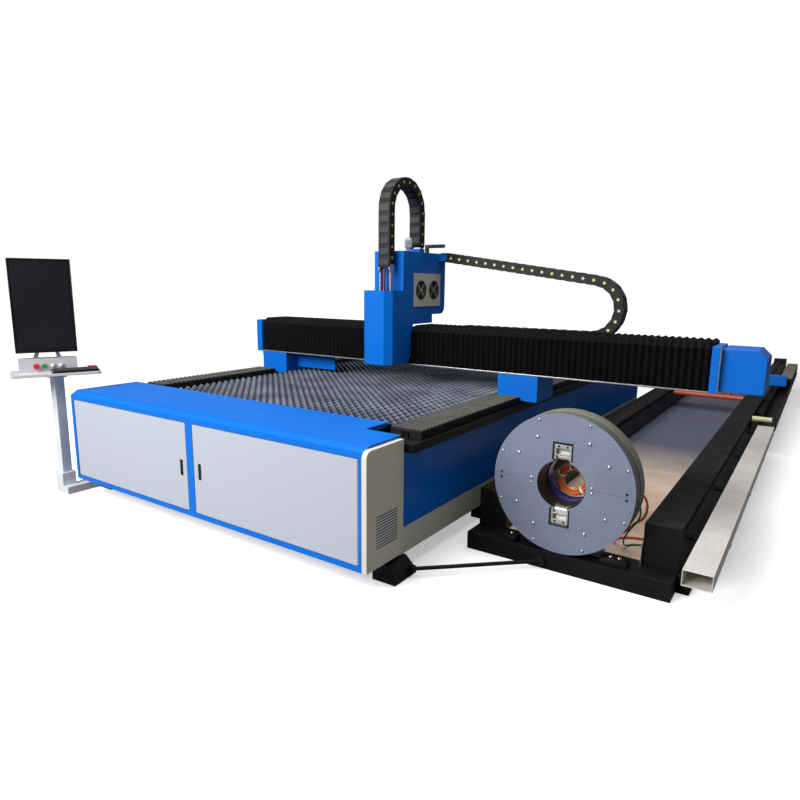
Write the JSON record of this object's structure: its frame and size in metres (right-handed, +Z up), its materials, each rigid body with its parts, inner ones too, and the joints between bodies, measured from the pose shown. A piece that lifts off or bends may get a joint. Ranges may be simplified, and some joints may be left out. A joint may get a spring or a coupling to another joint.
{
  "type": "gantry laser cutting machine",
  "caption": "Gantry laser cutter for sheet and tube: toothed slat bed, pleated gantry with cutting head on drag chains, tube chuck station, control cabinet and swivelling console.",
  "frame": {"origin": "on the floor, at the middle of the whole machine's outline", "axes": "+X to the machine's right, towards the tube station; +Y from the cabinet to the rear, along the gantry's travel; +Z up"},
  "size_m": [4.5798, 10.6152, 2.3272],
  "materials": {
    "blue_paint": "satin",
    "door_paint": "satin",
    "greige_paint": "satin",
    "black_paint": "satin",
    "deep_blue": "satin",
    "slat_steel": "dull",
    "bright_metal": "brushed",
    "chuck_metal": "fine turned",
    "rail_cover": "coated",
    "black_cover": "coated",
    "chain_plastic": "matte",
    "black_plastic": "gloss",
    "red_plastic": "gloss",
    "green_plastic": "gloss",
    "roller_plastic": "matte",
    "red_paint": "satin",
    "orange_sheath": "matte",
    "green_sheath": "matte",
    "cable_sheath": "matte"
  },
  "bodies": {
    "machine": {"bed_beam_right": "blue_paint", "bed_beam_left": "blue_paint", "bed_floor": "slat_steel", "bed_skirts": "greige_paint", "bed_feet": "black_paint", "slat_combs": "black_paint", "slats": "slat_steel", "cabinet_shell": "blue_paint", "cabinet_cover": "blue_paint", "end_cover": "greige_paint", "electrics_panel": "bright_metal", "y_rails": "black_paint", "y_bellows_front": "rail_cover", "y_bellows_rear": "rail_cover", "y_chain": "chain_plastic", "tube_end_beams": "black_paint", "tube_rail_left": "black_paint", "tube_rail_right": "black_paint", "tube_bellows": "black_cover", "tray_plates": "greige_paint", "tie_rod": "black_paint", "cable_duct": "bright_metal", "chain_trough": "black_paint", "chuck_housing": "greige_paint", "chuck_liner": "deep_blue", "cable_orange": "orange_sheath", "cable_green": "green_sheath", "console_stand": "bright_metal"},
    "gantry": {"gantry_beam": "black_paint", "gantry_legs": "blue_paint", "gantry_cap": "blue_paint", "gantry_housing": "blue_paint", "x_bellows_left": "black_cover", "x_bellows_right": "black_cover", "x_chain": "chain_plastic"},
    "carriage": {"head_housing": "blue_paint", "fan_panel": "greige_paint", "gas_filter": "bright_metal", "z_chain": "chain_plastic"},
    "z_head": {"cutting_head": "bright_metal", "head_cables": "cable_sheath"},
    "fan_front": {"fan_front": "black_plastic"},
    "fan_rear": {"fan_rear": "black_plastic"},
    "door_left": {"door_left": "door_paint"},
    "door_right": {"door_right": "door_paint"},
    "latch_left": {"latch_left": "black_plastic"},
    "latch_right": {"latch_right": "black_plastic"},
    "chuck": {"chuck_rotor": "chuck_metal"},
    "jaw_top": {"jaw_top": "bright_metal"},
    "jaw_bottom": {"jaw_bottom": "bright_metal"},
    "feed": {"feed_carriage": "blue_paint", "red_tube": "red_paint"},
    "feed_chuck": {"feed_chuck": "chuck_metal"},
    "guide_roller": {"chain_roller": "roller_plastic"},
    "console": {"console_shelf": "door_paint", "control_box": "door_paint", "keyboard": "black_plastic"},
    "monitor": {"monitor": "black_plastic"},
    "estop": {"estop": "red_plastic"},
    "start_button": {"start_button": "green_plastic"}
  },
  "joints": [
    {"name": "gantry_travel", "type": "slide", "parent": "machine", "child": "gantry", "axis": [0, 1, 0], "range_m": [-1, 2.95], "deforming": ["y_bellows_front", "y_bellows_rear", "y_chain"]},
    {"name": "head_travel", "type": "slide", "parent": "gantry", "child": "carriage", "axis": [1, 0, 0], "range_m": [-1.15, 1.75], "deforming": ["x_bellows_left", "x_bellows_right", "x_chain"]},
    {"name": "nozzle_height", "type": "slide", "parent": "carriage", "child": "z_head", "axis": [0, 0, 1], "range_m": [-0.115, 0.03], "deforming": ["z_chain"]},
    {"name": "fan_front_spin", "type": "hinge", "parent": "carriage", "child": "fan_front", "pos_m": [-0.12009, -3.15044, 1.504], "axis": [1, 0, 0], "continuous": true},
    {"name": "fan_rear_spin", "type": "hinge", "parent": "carriage", "child": "fan_rear", "pos_m": [-0.12009, -2.96245, 1.504], "axis": [1, 0, 0], "continuous": true},
    {"name": "door_left_hinge", "type": "hinge", "parent": "machine", "child": "door_left", "pos_m": [-1.82609, -4.98245, 0.44], "axis": [0, 0, 1], "range_deg": [-95, 0]},
    {"name": "door_right_hinge", "type": "hinge", "parent": "machine", "child": "door_right", "pos_m": [0.73591, -4.98245, 0.44], "axis": [0, 0, 1], "range_deg": [0, 95]},
    {"name": "latch_left_pull", "type": "hinge", "parent": "door_left", "child": "latch_left", "pos_m": [-0.63109, -4.99245, 0.3805], "axis": [1, 0, 0], "range_deg": [0, 40]},
    {"name": "latch_right_pull", "type": "hinge", "parent": "door_right", "child": "latch_right", "pos_m": [-0.45909, -4.99245, 0.3805], "axis": [1, 0, 0], "range_deg": [0, 40]},
    {"name": "chuck_spin", "type": "hinge", "parent": "machine", "child": "chuck", "pos_m": [1.46191, -4.10745, 0.5], "axis": [0, 1, 0], "continuous": true},
    {"name": "jaw_top_close", "type": "slide", "parent": "chuck", "child": "jaw_top", "axis": [0, 0, -1], "range_m": [0, 0.1]},
    {"name": "jaw_bottom_close", "type": "slide", "parent": "chuck", "child": "jaw_bottom", "axis": [0, 0, 1], "range_m": [0, 0.1]},
    {"name": "feed_travel", "type": "slide", "parent": "machine", "child": "feed", "axis": [0, 1, 0], "range_m": [-4.3, 4], "deforming": ["tube_bellows"]},
    {"name": "feed_chuck_spin", "type": "hinge", "parent": "feed", "child": "feed_chuck", "pos_m": [1.46191, 0.85755, 0.5], "axis": [0, 1, 0], "continuous": true},
    {"name": "guide_roller_spin", "type": "hinge", "parent": "machine", "child": "guide_roller", "pos_m": [2.13991, -0.69244, 0.336], "axis": [1, 0, 0], "continuous": true},
    {"name": "console_swivel", "type": "hinge", "parent": "machine", "child": "console", "pos_m": [-2.04009, -4.99245, 0.88], "axis": [0, 0, 1], "range_deg": [-60, 25]},
    {"name": "monitor_tilt", "type": "hinge", "parent": "console", "child": "monitor", "pos_m": [-2.11349, -5.00787, 1.1403], "axis": [0.4226, 0.9063, 0], "range_deg": [-15, 3]},
    {"name": "estop_press", "type": "slide", "parent": "console", "child": "estop", "axis": [-0.9063, 0.4226, 0], "range_m": [0, 0.005], "stiffness_N_per_m": 900},
    {"name": "start_press", "type": "slide", "parent": "console", "child": "start_button", "axis": [-0.9063, 0.4226, 0], "range_m": [0, 0.004], "stiffness_N_per_m": 600}
  ],
  "couplings": [
    {"joint": "jaw_bottom_close", "follows": "jaw_top_close", "ratio": 1}
  ]
}
